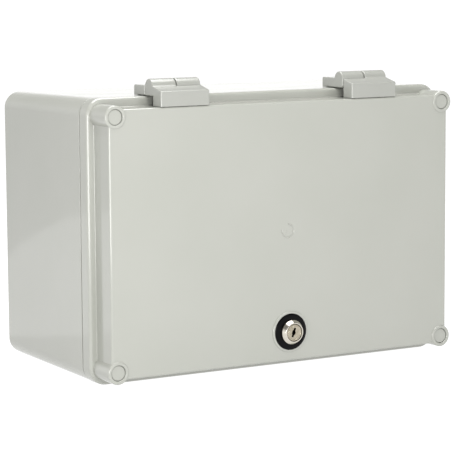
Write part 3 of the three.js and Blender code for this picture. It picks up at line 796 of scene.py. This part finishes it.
lid_block = [(0, LID_UNDER - EXTRA), (0, LID_LEAF_FRONT_TOP),
             (LID_LEAF_DEPTH, LID_LEAF_FRONT_TOP + LID_LEAF_DEPTH * SLOPE),
             (LID_LEAF_DEPTH, LID_UNDER - EXTRA)]
lid_knuckle = [(0, LID_UNDER - EXTRA), (0, LID_LEAF_FRONT_TOP)]
lid_knuckle += arc(PIN_Y, PIN_Z, KNUCKLE_RADIUS, 0.965 * pi, 0, 20)
lid_knuckle += [(24, LID_KNUCKLE_UNDER), (LID_LEAF_DEPTH, LID_KNUCKLE_UNDER),
                (LID_LEAF_DEPTH, LID_UNDER - EXTRA)]
body_block = [(BODY_LEAF_FRONT, BODY_KNUCKLE_UNDER), (BODY_LEAF_FRONT, BODY_LEAF_TOP),
              (BODY_LEAF_BACK, BODY_LEAF_TOP), (BODY_LEAF_BACK, BODY_UNDER - EXTRA),
              (34.7, BODY_UNDER - EXTRA), (34.7, BODY_KNUCKLE_UNDER)]
meeting = asin((BODY_LEAF_TOP - PIN_Z) / KNUCKLE_RADIUS)
body_knuckle = [(14.1, BODY_KNUCKLE_UNDER), (12.6, 104.5)]
body_knuckle += arc(PIN_Y, PIN_Z, KNUCKLE_RADIUS, pi, meeting, 20)
body_knuckle += [(30, BODY_LEAF_TOP), (30, BODY_KNUCKLE_UNDER)]
print("hinge axis at y, z =", PIN_Y, PIN_Z, "knuckle radius", KNUCKLE_RADIUS)

# %% One leaf
def knuckle_spans(start, wide_on_lid):
    split = start + WIDE_KNUCKLE
    wide, narrow = (start, split), (split + KNUCKLE_GAP, start + HINGE_WIDTH)
    return (wide, narrow) if wide_on_lid else (narrow, wide)


def leaf(block, knuckle, start, span, under, screw_y, screw_from, screw_to):
    """A softened block and knuckle in one, cut off flat underneath, with holes for the pin and two screws."""
    finish = start + HINGE_WIDTH
    whole = joined(softened(prism("block", block, "X", start, finish), LEAF_EDGE),
                   softened(prism("knuckle", knuckle, "X", *span), LEAF_EDGE))
    below = [(-2, under - 4), (42, under - 4), (42, under), (-2, under)]
    tools = [prism("under", below, "X", start - 1, finish + 1)]
    tools.append(rod("X", PIN_Y, PIN_Z, PIN_HOLE, start + 2, finish - 2, 40))
    for inset_x in (LEAF_SCREW_INSET, HINGE_WIDTH - LEAF_SCREW_INSET):
        tools.append(rod("Z", start + inset_x, screw_y, SCREW_HOLE, screw_from, screw_to))
    return cut(without_seams(whole), *tools)

# %% Leaves and pins
PIN_RADIUS, PIN_SHORT, PIN_EDGE = 1.9, 2.3, 0.4
for word, start in HINGE_STARTS.items():
    lid_span, body_span = knuckle_spans(start, word == "left")
    lid_leaf = leaf(lid_block, lid_knuckle, start, lid_span, LID_UNDER, LID_SCREW_Y, 95.0, 104.0)
    piece(f"hinge_lid_leaf_{word}", lid_leaf, "hinge_plastic", "lid", f"hinge_lid_leaf_{word}")
    body_leaf = leaf(body_block, body_knuckle, start, body_span, BODY_UNDER, BODY_SCREW_Y, 102.0, 108.6)
    piece(f"hinge_body_leaf_{word}", body_leaf, "hinge_plastic", "body", f"hinge_body_leaf_{word}")
    pin = rod("X", PIN_Y, PIN_Z, PIN_RADIUS, start + PIN_SHORT, start + HINGE_WIDTH - PIN_SHORT, 40)
    piece(f"hinge_pin_{word}", softened(pin, PIN_EDGE), "zinc_steel", "body", f"hinge_pin_{word}")

# %% [markdown]
# ## The lock
#
# A cam lock is a threaded barrel pushed through the lid from the front and held by a nut behind. Its
# polished head sits on a glossy black ring. Inside it turns a plug with a keyway, and the plug
# carries the cam on a square end. The ring, the head and the plug are turned shapes, so they are
# lathed. The keyway is a stepped slot, tilted like the whole plug, because the lock was fitted a
# little off plumb.

# %% Ring and plug
LOCK_TILT = radians(20)
HOUSING_RADIUS, HOUSING_BACK = 7.9, 37.5
ON_LOCK = Matrix.Translation((LOCK_X, 0, LOCK_Z)) @ Matrix.Rotation(LOCK_TILT, 4, "Y")


def on_lock(mesh):
    mesh.transform(ON_LOCK)
    return mesh


ring_outline = [(8.3, -0.3), (8.3, -1.6), (8.6, -1.88), (9.7, -1.9), (10.8, -1.82), (11.8, -1.66),
                (12.6, -1.42), (13.1, -1.16), (13.38, -0.9), (RING_RADIUS, -0.6), (RING_RADIUS, -0.3)]
trim_ring = lathe("ring", ring_outline, LOCK_X, LOCK_Z, 96)
piece("lock_trim_ring", trim_ring, "black_trim", "lid", "lock_trim_ring")

plug_end = HOUSING_BACK + 0.4
plug_outline = [(0, -6), (4.75, -6), (4.85, -5.9), (5.15, -5.9), (5.25, -6), (5.75, -6), (6.05, -5.92),
                (PLUG_RADIUS, -5.7), (PLUG_RADIUS, plug_end), (0, plug_end)]
keyway = [(-1.5, -3.6), (0.2, -3.6), (0.3, -1.8), (1.0, -1.2), (1.0, 0.6), (0.3, 1.2), (0.3, 3.6),
          (-1.4, 3.6), (-1.4, 1.8), (-2.1, 1.2), (-2.1, -1.0), (-1.5, -1.6)]
KEYWAY_DEPTH, SQUARE_HALF, SQUARE_END, CAM_SCREW_HOLE = 15, 3.5, 41.2, 2.2


def square(half):
    return [(-half, -half), (half, -half), (half, half), (-half, half)]


plug = lathe("plug", plug_outline)
plug = joined(plug, prism("square", square(SQUARE_HALF), "Y", HOUSING_BACK - 1, SQUARE_END))
plug = cut(plug, prism("keyway", keyway, "Y", -8, KEYWAY_DEPTH), rod("Y", 0, 0, CAM_SCREW_HOLE, 30, 43))
piece("lock_plug", on_lock(plug), "nickel", "lock", "lock_plug")

# %% [markdown]
# ## A thread that follows a helix
#
# A screw thread is a small triangular section that follows a helix, which is exactly what Curve to
# Mesh does in Geometry Nodes. The helix comes from the Spiral primitive, with the same radius at both
# ends. The tree's inputs are named after the sizes on a drawing. A modifier's inputs are set by
# their identifiers, so a small helper looks each one up by its name.

# %% Geometry Nodes helpers
RIDGE_SHARE = 0.42


def new_tree(name, inputs):
    tree = bpy.data.node_groups.new(name, "GeometryNodeTree")
    tree.interface.new_socket("Geometry", in_out="INPUT", socket_type="NodeSocketGeometry")
    for label, (kind, value) in inputs.items():
        made = tree.interface.new_socket(label, in_out="INPUT", socket_type=kind)
        if value is not None:
            made.default_value = value
    tree.interface.new_socket("Geometry", in_out="OUTPUT", socket_type="NodeSocketGeometry")
    return tree, tree.nodes.new("NodeGroupInput").outputs


def maths(tree, operation, first, second=0.0):
    return add_node(tree, "ShaderNodeMath", {0: first, 1: second}, operation=operation).outputs[0]


def vector(tree, x=0.0, y=0.0, z=0.0):
    return add_node(tree, "ShaderNodeCombineXYZ", {"X": x, "Y": y, "Z": z}).outputs[0]


def thread(tree, radius, pitch, height, steps):
    """A closed triangular ridge along a helix that starts at z = 0."""
    turns = maths(tree, "DIVIDE", height, pitch)
    helix = add_node(tree, "GeometryNodeCurveSpiral", {
        "Resolution": steps, "Rotations": turns, "Height": height,
        "Start Radius": radius, "End Radius": radius,
    })
    section = add_node(tree, "GeometryNodeCurvePrimitiveCircle", {
        "Resolution": 3, "Radius": maths(tree, "MULTIPLY", pitch, RIDGE_SHARE),
    }, mode="RADIUS")
    ridge = add_node(tree, "GeometryNodeCurveToMesh", {
        "Curve": helix.outputs[0], "Profile Curve": section.outputs[0], "Fill Caps": True,
    })
    return ridge.outputs[0]


def finish_tree(tree, geometry, material):
    real = add_node(tree, "GeometryNodeRealizeInstances", {"Geometry": geometry})
    painted = add_node(tree, "GeometryNodeSetMaterial", {"Geometry": real.outputs[0], "Material": material})
    add_node(tree, "NodeGroupOutput", {0: painted.outputs[0]})


def grown(tree, mesh, values):
    """Runs the tree on a mesh with the named input values and returns the plain result."""
    def set_up(holder):
        step = holder.modifiers.new("nodes", "NODES")
        step.node_group = tree
        for item in tree.interface.items_tree:
            if item.in_out == "INPUT" and item.name in values:
                step[item.identifier] = values[item.name]
    return applied(mesh, set_up)

# %% Threaded lock barrel
thread_tree, thread_inputs = new_tree("barrel_thread", {
    "Radius": ("NodeSocketFloat", 7.45), "Pitch": ("NodeSocketFloat", 1.0),
    "Length": ("NodeSocketFloat", 30.0), "Steps per Turn": ("NodeSocketInt", 36),
    "Material": ("NodeSocketMaterial", None),
})
ridge = thread(thread_tree, thread_inputs["Radius"], thread_inputs["Pitch"], thread_inputs["Length"],
               thread_inputs["Steps per Turn"])
finish_tree(thread_tree, ridge, thread_inputs["Material"])

THREAD_FROM, BARREL_PITCH = 4.6, 1.0
helix = grown(thread_tree, bpy.data.meshes.new("nothing"), {
    "Radius": HOUSING_RADIUS - RIDGE_SHARE * BARREL_PITCH, "Pitch": BARREL_PITCH,
    "Length": HOUSING_BACK - 0.8 - THREAD_FROM,
    "Steps per Turn": 36, "Material": finishes["nickel"],
})
helix.transform(Matrix.Translation((LOCK_X, THREAD_FROM, LOCK_Z)) @ Matrix.Rotation(-pi / 2, 4, "X"))
print("thread faces:", len(helix.polygons))

# %% Lock housing
HEAD_RADIUS, HEAD_BACK = 9.1, -2.2
FLAT_HALF = 7.2
CORE_RADIUS = HOUSING_RADIUS - 0.45
BORE_RADIUS = PLUG_RADIUS + 0.3
head_outline = [(BORE_RADIUS, HOUSING_BACK), (BORE_RADIUS, -6.05), (6.62, -6.24), (6.8, -6.3), (7.15, -6.3),
                (7.35, -6.22), (7.5, -6.08)]
head_outline += [(8.95, -3.85), (9.06, -3.65), (HEAD_RADIUS, -3.45), (HEAD_RADIUS, -2.4), (8.9, HEAD_BACK),
                 (HOUSING_RADIUS, HEAD_BACK), (HOUSING_RADIUS, THREAD_FROM - 0.6), (CORE_RADIUS, THREAD_FROM),
                 (CORE_RADIUS, HOUSING_BACK)]
housing = lathe("housing", head_outline, LOCK_X, LOCK_Z, 96)
housing = joined(housing, helix)
flats = [prism("flat", [(LOCK_X + side * FLAT_HALF, LOCK_Z - 10), (LOCK_X + side * 10, LOCK_Z - 10),
                        (LOCK_X + side * 10, LOCK_Z + 10), (LOCK_X + side * FLAT_HALF, LOCK_Z + 10)],
               "Y", THREAD_FROM - 0.6, HOUSING_BACK + 1) for side in (-1, 1)]
piece("lock_housing", cut(housing, *flats), "nickel", "lid", "lock_housing")

# %% [markdown]
# ## Nut, washer and cam
#
# The nut is a hexagon whose corners are turned down by a cone, as real nuts are chamfered. Cutting
# the plain hexagon with a lathed waste shape gives exactly those curved corners. The washer is a flat
# ring, and the cam is a stamped plate with one rounded end and a square hole.

# %% Nut, washer, cam
NUT_CORNER, NUT_FRONT, NUT_BACK = 12.4, 4.7, 9.7
HOLE_RADIUS = HOUSING_RADIUS + 0.3
hexagon = arc(LOCK_X, LOCK_Z, NUT_CORNER, 0, 5 * pi / 3, 5)
waste = [(NUT_CORNER + 2, NUT_FRONT - 1), (NUT_CORNER + 2, NUT_BACK + 1),
         (NUT_CORNER - 2.8, NUT_BACK + 1), (NUT_CORNER - 1.4, NUT_BACK),
         (NUT_CORNER + 0.2, NUT_BACK - 0.8), (NUT_CORNER + 0.2, NUT_FRONT + 0.8),
         (NUT_CORNER - 1.4, NUT_FRONT), (NUT_CORNER - 2.8, NUT_FRONT - 1)]
nut = cut(prism("nut", hexagon, "Y", NUT_FRONT, NUT_BACK), lathe("waste", waste, LOCK_X, LOCK_Z, 72),
          lathe("hole", [(0, 3), (HOLE_RADIUS, 3), (HOLE_RADIUS, 12), (0, 12)], LOCK_X, LOCK_Z, 64))
piece("lock_nut", softened(nut, 0.15, 2, 50), "zinc_steel", "lid", "lock_nut")

WASHER_RADIUS, WASHER_FRONT, WASHER_BACK = 12.8, 3.3, 4.4
washer_outline = [(HOLE_RADIUS, 3.45), (HOLE_RADIUS + 0.15, WASHER_FRONT), (12.6, WASHER_FRONT),
                  (WASHER_RADIUS, 3.5), (WASHER_RADIUS, 4.25), (12.65, WASHER_BACK),
                  (HOLE_RADIUS + 0.15, WASHER_BACK), (HOLE_RADIUS, 4.25)]
piece("lock_washer", lathe("washer", washer_outline, LOCK_X, LOCK_Z), "zinc_steel", "lid", "lock_washer")

CAM_FRONT, CAM_BACK, CAM_HALF, CAM_REACH, CAM_HOLE_HALF = 38.2, 40.7, 7.5, 13.5, 3.8
cam_outline = arc(0, 0, CAM_HALF, -pi / 2, pi / 2, 20) + arc(-CAM_REACH, 0, CAM_HALF, pi / 2, 1.5 * pi, 20)
cam = softened(cut(prism("cam", cam_outline, "Y", CAM_FRONT, CAM_BACK),
                   prism("hole", square(CAM_HOLE_HALF), "Y", CAM_FRONT - 1, CAM_BACK + 1)), 0.3)
piece("lock_cam", on_lock(cam), "zinc_steel", "lock", "lock_cam")

# %% [markdown]
# ## Screws, made once and repeated
#
# Ten round-headed screws and the cam's own screw differ only in size, so one Geometry Nodes tree
# makes them all. It builds a head, a shank and a thread, cuts a cross into the head, and sets a copy
# on every vertex of the mesh it is given. The screw is drawn with its head below z = 0 and its
# shank pointing up; `Turn` tips it over for the ones that point another way. Realize Instances turns
# the copies into real geometry.

# %% Screw inputs and solid helpers
screw_tree, screw = new_tree("cross_head_screws", {
    "Head Radius": ("NodeSocketFloat", 2.9), "Head Height": ("NodeSocketFloat", 2.0),
    "Shank Radius": ("NodeSocketFloat", 1.5), "Shank Length": ("NodeSocketFloat", 10.0),
    "Pitch": ("NodeSocketFloat", 1.1), "Turn": ("NodeSocketFloat", 0.0),
    "Material": ("NodeSocketMaterial", None),
})


def can(tree, radius_bottom, radius_top, bottom, depth, sides=32):
    """A straight or tapered round solid that stands on z = bottom."""
    body = add_node(tree, "GeometryNodeMeshCone", {
        "Vertices": sides, "Radius Bottom": radius_bottom, "Radius Top": radius_top, "Depth": depth,
    }, fill_type="NGON")
    return add_node(tree, "GeometryNodeTransform", {
        "Geometry": body.outputs[0], "Translation": vector(tree, z=bottom),
    }).outputs[0]


def solid(tree, operation, first, others):
    made = add_node(tree, "GeometryNodeMeshBoolean", operation=operation, solver="EXACT")
    if first is not None:
        tree.links.new(first, made.inputs["Mesh 1"])
    for other in others:
        tree.links.new(other, made.inputs["Mesh 2"])
    return made.outputs[0]

# %% Screw head, shank and thread
head_height, head_radius = screw["Head Height"], screw["Head Radius"]
dome = maths(screw_tree, "MULTIPLY", head_height, 0.45)
below = maths(screw_tree, "MULTIPLY", head_height, -1.0)
dome_top = maths(screw_tree, "MULTIPLY", head_radius, 0.7)
straight = maths(screw_tree, "SUBTRACT", head_height, dome)
dome_part = can(screw_tree, dome_top, head_radius, below, dome)
straight_part = can(screw_tree, head_radius, head_radius, maths(screw_tree, "ADD", below, dome), straight)
core = maths(screw_tree, "MULTIPLY", screw["Shank Radius"], 0.78)
point = maths(screw_tree, "MULTIPLY", screw["Shank Radius"], 0.35)
point_length = maths(screw_tree, "MULTIPLY", screw["Shank Radius"], 0.9)
shank_length = maths(screw_tree, "SUBTRACT", screw["Shank Length"], point_length)
shank_part = can(screw_tree, core, core, -0.2, maths(screw_tree, "ADD", shank_length, 0.2))
point_part = can(screw_tree, core, point, shank_length, point_length)
ridge_depth = maths(screw_tree, "MULTIPLY", screw["Pitch"], 0.36)
ridge_radius = maths(screw_tree, "SUBTRACT", screw["Shank Radius"], ridge_depth)
ridge_length = maths(screw_tree, "SUBTRACT", shank_length, 0.6)
ridge_part = thread(screw_tree, ridge_radius, screw["Pitch"], ridge_length, 20)
half_pitch = maths(screw_tree, "MULTIPLY", screw["Pitch"], 0.5)
lifted = add_node(screw_tree, "GeometryNodeTransform", {
    "Geometry": ridge_part, "Translation": vector(screw_tree, z=half_pitch),
}).outputs[0]
whole_screw = solid(screw_tree, "UNION", None, [dome_part, straight_part, shank_part, point_part, lifted])
print("nodes for a plain screw:", len(screw_tree.nodes))

# %% Cross slots and copies
slot_length = maths(screw_tree, "MULTIPLY", head_radius, 1.15)
slot_width = maths(screw_tree, "MULTIPLY", head_radius, 0.26)
slot_depth = maths(screw_tree, "MULTIPLY", head_height, 1.2)
slots = []
for size_x, size_y in ((slot_length, slot_width), (slot_width, slot_length)):
    bar_size = vector(screw_tree, size_x, size_y, slot_depth)
    bar = add_node(screw_tree, "GeometryNodeMeshCube", {"Size": bar_size})
    slots.append(add_node(screw_tree, "GeometryNodeTransform", {
        "Geometry": bar.outputs[0], "Translation": vector(screw_tree, z=below),
    }).outputs[0])
cross_screw = solid(screw_tree, "DIFFERENCE", whole_screw, slots)
copies = add_node(screw_tree, "GeometryNodeInstanceOnPoints", {
    "Points": screw["Geometry"], "Instance": cross_screw, "Rotation": vector(screw_tree, x=screw["Turn"]),
})
finish_tree(screw_tree, copies.outputs[0], screw["Material"])
print("nodes in the whole tree:", len(screw_tree.nodes))

# %% Screws
# Head radius, head height, shank radius, shank length and pitch of each kind.
LID_LEAF_SCREW = (2.9, 2.0, 1.5, 11.0, 1.1)
BODY_LEAF_SCREW = (2.9, 2.0, 1.5, 9.9, 1.1)
KEEPER_SCREW = (2.4, 1.5, 1.0, 4.0, 0.8)
CAM_SCREW = (5.6, 2.4, 1.8, 9.5, 0.7)
LID_SEAT, BODY_SEAT, KEEPER_SEAT, CAM_SEAT = 92.4, 98.1, -94.8, 41.5


def screws(spots, head_radius, head_height, shank_radius, length, pitch, turn=0.0):
    places = bpy.data.meshes.new("spots")
    places.from_pydata(spots, [], [])
    return grown(screw_tree, places, {
        "Head Radius": head_radius, "Head Height": head_height, "Shank Radius": shank_radius,
        "Shank Length": length, "Pitch": pitch, "Turn": turn, "Material": finishes["zinc_steel"],
    })


lid_spots = [(x, y, LID_SEAT) for x, y in leaf_screw_spots(LID_SCREW_Y)]
piece("lid_leaf_screws", screws(lid_spots, *LID_LEAF_SCREW), "zinc_steel", "lid",
      *[f"lid_leaf_screw_{i}" for i in (1, 2, 3, 4)])
body_spots = [(x, y, BODY_SEAT) for x, y in leaf_screw_spots(BODY_SCREW_Y)]
piece("body_leaf_screws", screws(body_spots, *BODY_LEAF_SCREW), "zinc_steel", "body",
      *[f"body_leaf_screw_{i}" for i in (1, 2, 3, 4)])
keeper_spots = [(x, y, KEEPER_SEAT) for x, y in KEEPER_SCREWS]
piece("keeper_screws", screws(keeper_spots, *KEEPER_SCREW, pi), "zinc_steel", "body",
      "keeper_screw_1", "keeper_screw_2")
cam_spots = [(LOCK_X, CAM_SEAT, LOCK_Z)]
piece("cam_screw", screws(cam_spots, *CAM_SCREW, pi / 2), "zinc_steel", "lock", "cam_screw")

# %% [markdown]
# ## The keeper
#
# The cam turns behind a bent plate on the tub's floor. A bent plate is its side outline, with a
# rounded bend inside and out, pushed across; two screw holes go through the foot.

# %% Keeper
KEEPER_FROM, KEEPER_TO = -16.0, 14.0
KEEPER_FRONT, PLATE, KEEPER_TOP, KEEPER_BASE, KEEPER_BACK = 36.2, 1.5, -85.0, -96.6, 52.7
KEEPER_HOLE = 1.5
bend = 1.0
side_outline = [(KEEPER_FRONT, KEEPER_TOP), (KEEPER_FRONT + PLATE, KEEPER_TOP)]
side_outline += arc(KEEPER_FRONT + PLATE + bend, KEEPER_BASE + PLATE + bend, bend, pi, 1.5 * pi, 8)
side_outline += [(KEEPER_BACK, KEEPER_BASE + PLATE), (KEEPER_BACK, KEEPER_BASE)]
outer_bend = bend + 0.6
side_outline += arc(KEEPER_FRONT + outer_bend, KEEPER_BASE + outer_bend, outer_bend, 1.5 * pi, pi, 8)
keeper = softened(prism("keeper", side_outline, "X", KEEPER_FROM, KEEPER_TO), 0.25, 3)
keeper = cut(keeper, *[rod("Z", x, y, KEEPER_HOLE, KEEPER_BASE - 1, KEEPER_BASE + PLATE + 1)
                       for x, y in KEEPER_SCREWS])
piece("keeper", keeper, "zinc_steel", "body", "keeper")
